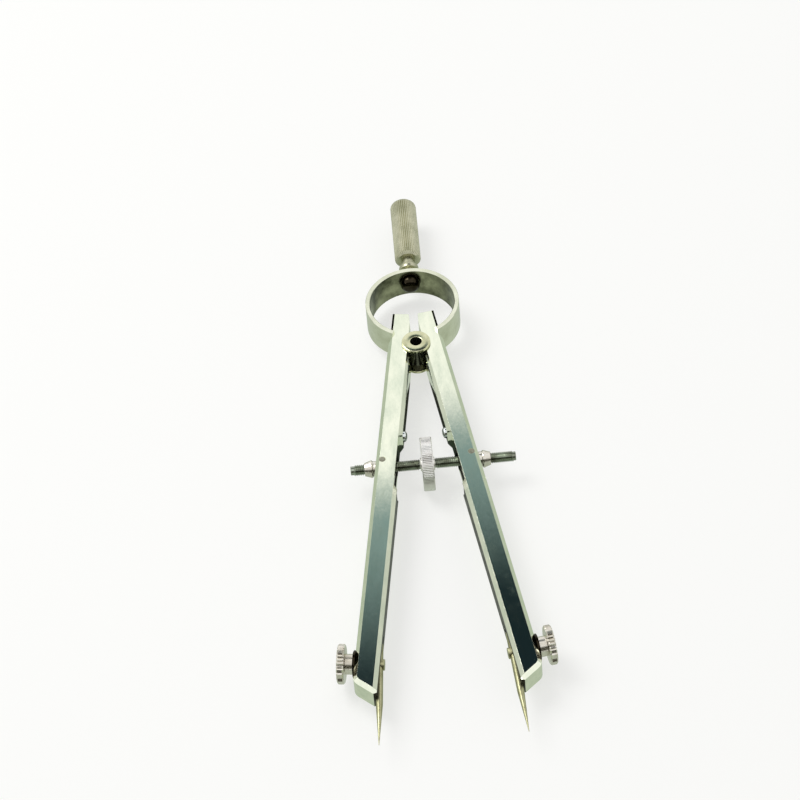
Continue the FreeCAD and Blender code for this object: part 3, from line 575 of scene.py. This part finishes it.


# Reflected sheets ------------------------------------------------------------------------------
# Glowing sheets, no lamps, seen only as painted reflections in the plating: a slate one overhead
# in three parts, a dim one in front, a pale one on each side, and a pale one and two dark strips
# under the tool.

def card(name, corner, along, up, shades):
    """A sheet that only the plating sees, shaded from its first edge to its last."""
    bm = bmesh.new()
    corner, along, up = Vector(corner), Vector(along), Vector(up)
    edge_spots = (corner, corner + along, corner + along + up, corner + up)
    bm.faces.new([bm.verts.new(spot) for spot in edge_spots])
    mesh = bpy.data.meshes.new(name)
    bm.to_mesh(mesh)
    bm.free()
    board = bpy.data.objects.new(name, mesh)
    bpy.context.scene.collection.objects.link(board)
    felt = bpy.data.materials.new(name)
    felt.use_nodes = True
    nodes, links = felt.node_tree.nodes, felt.node_tree.links
    nodes.remove(nodes["Principled BSDF"])
    spot = nodes.new("ShaderNodeTexCoord")
    split = nodes.new("ShaderNodeSeparateXYZ")
    links.new(spot.outputs["Object"], split.inputs["Vector"])
    fade = nodes.new("ShaderNodeMapRange")
    fade.inputs["From Min"].default_value = corner.y
    fade.inputs["From Max"].default_value = corner.y + up.y
    links.new(split.outputs["Y"], fade.inputs["Value"])
    tone = nodes.new("ShaderNodeValToRGB")
    tone.color_ramp.interpolation = "EASE"
    while len(tone.color_ramp.elements) < len(shades):
        tone.color_ramp.elements.new(0.5)
    for step, (place, shade) in zip(tone.color_ramp.elements, shades):
        step.position = place
        step.color = (*shade, 1)
    links.new(fade.outputs["Result"], tone.inputs["Fac"])
    glow = nodes.new("ShaderNodeEmission")
    links.new(tone.outputs["Color"], glow.inputs["Color"])
    links.new(glow.outputs[0], nodes["Material Output"].inputs["Surface"])
    mesh.materials.append(felt)
    board.visible_camera = False
    board.visible_diffuse = False
    board.visible_shadow = False


DEEP_SLATE = (0.010, 0.020, 0.026)
MIDDLE_SLATE = (0.22, 0.31, 0.33)
WHITE = (1, 1, 1)
PALE_FACE = (0.50, 0.55, 0.47)
DIM = (0.08, 0.08, 0.06)
WALL_NEAR, WALL_FAR = (0.62, 0.64, 0.60), (0.66, 0.68, 0.64)
DARK_STRIP_NEAR, DARK_STRIP_FAR = (0.03, 0.04, 0.03), (0.02, 0.02, 0.015)
OVERHEAD = 0.40
SLATE_EDGE = 0.13
SLATE_SPLIT = 0.205
card("near_slate", (-SLATE_EDGE, 0.02, OVERHEAD), (2 * SLATE_EDGE, 0, 0), (0, 0.185, 0),
     ((0.0, WHITE), (0.6, DEEP_SLATE), (1.0, DEEP_SLATE)))
card("left_slate", (-SLATE_EDGE, SLATE_SPLIT, OVERHEAD), (SLATE_EDGE, 0, 0), (0, 0.112, 0),
     ((0.0, DEEP_SLATE), (0.72, MIDDLE_SLATE), (1.0, WHITE)))
card("right_slate", (0.0, SLATE_SPLIT, OVERHEAD), (SLATE_EDGE, 0, 0), (0, 0.150, 0),
     ((0.25, DEEP_SLATE), (0.75, MIDDLE_SLATE), (1.0, WHITE)))
card("printed_face", (-0.11, -0.14, low + THIN_GAP), (0.22, 0, 0), (0, 0.30, 0),
     ((0.0, PALE_FACE), (1.0, PALE_FACE)))
card("dim_room", (-0.5, -0.34, 0.0), (1.0, 0, 0), (0, -0.08, 0.36), ((0.0, DIM), (1.0, DIM)))
for side in (-1, 1):
    card("pale_wall", (side * 0.6, 0.1, -0.005), (0, 0, 0.25), (0, 1.2, 0),
         ((0.0, WALL_NEAR), (1.0, WALL_FAR)))
    # Two dark strips between the legs by the spool: painted dark reflections on the spool's waist
    # and the legs' inner sides.
    card("dark_reflection_strip", (side * 0.0012, -0.032, low + 2 * THIN_GAP), (side * 0.0098, 0, 0),
         (0, 0.028, 0), ((0.0, DARK_STRIP_NEAR), (1.0, DARK_STRIP_FAR)))


# Lamp and camera -------------------------------------------------------------------------------
# One soft square lamp above and to the left, and a camera that looks down on the tool at a slant
# from its foot.

LAMP_PLACE = Vector((-0.5, 0.3, 0.9))
LAMP_AIM = Vector((0, -0.03, 0))
light = bpy.data.lights.new("key", "AREA")
light.energy = 5
light.size = 0.6
lamp = bpy.data.objects.new("key", light)
lamp.location = LAMP_PLACE
lamp.rotation_euler = (LAMP_AIM - LAMP_PLACE).to_track_quat("-Z", "Y").to_euler()
bpy.context.scene.collection.objects.link(lamp)

CAMERA_PLACE = (-0.00312, -0.5452, 0.5821)
CAMERA_TURN = math.radians(0.182)
CAMERA_SLANT = math.radians(42.372)
CAMERA_ROLL = math.radians(-5.428)
lens = bpy.data.cameras.new("camera")
lens.sensor_width = 36
lens.lens = 157.5
lens.clip_end = 20
camera = bpy.data.objects.new("camera", lens)
bpy.context.scene.collection.objects.link(camera)
camera.matrix_world = (Matrix.Translation(CAMERA_PLACE) @ Matrix.Rotation(CAMERA_TURN, 4, "Z")
                       @ Matrix.Rotation(CAMERA_SLANT, 4, "X")
                       @ Matrix.Rotation(CAMERA_ROLL, 4, "Z"))
bpy.context.scene.camera = camera
bpy.context.scene.view_settings.view_transform = "Standard"
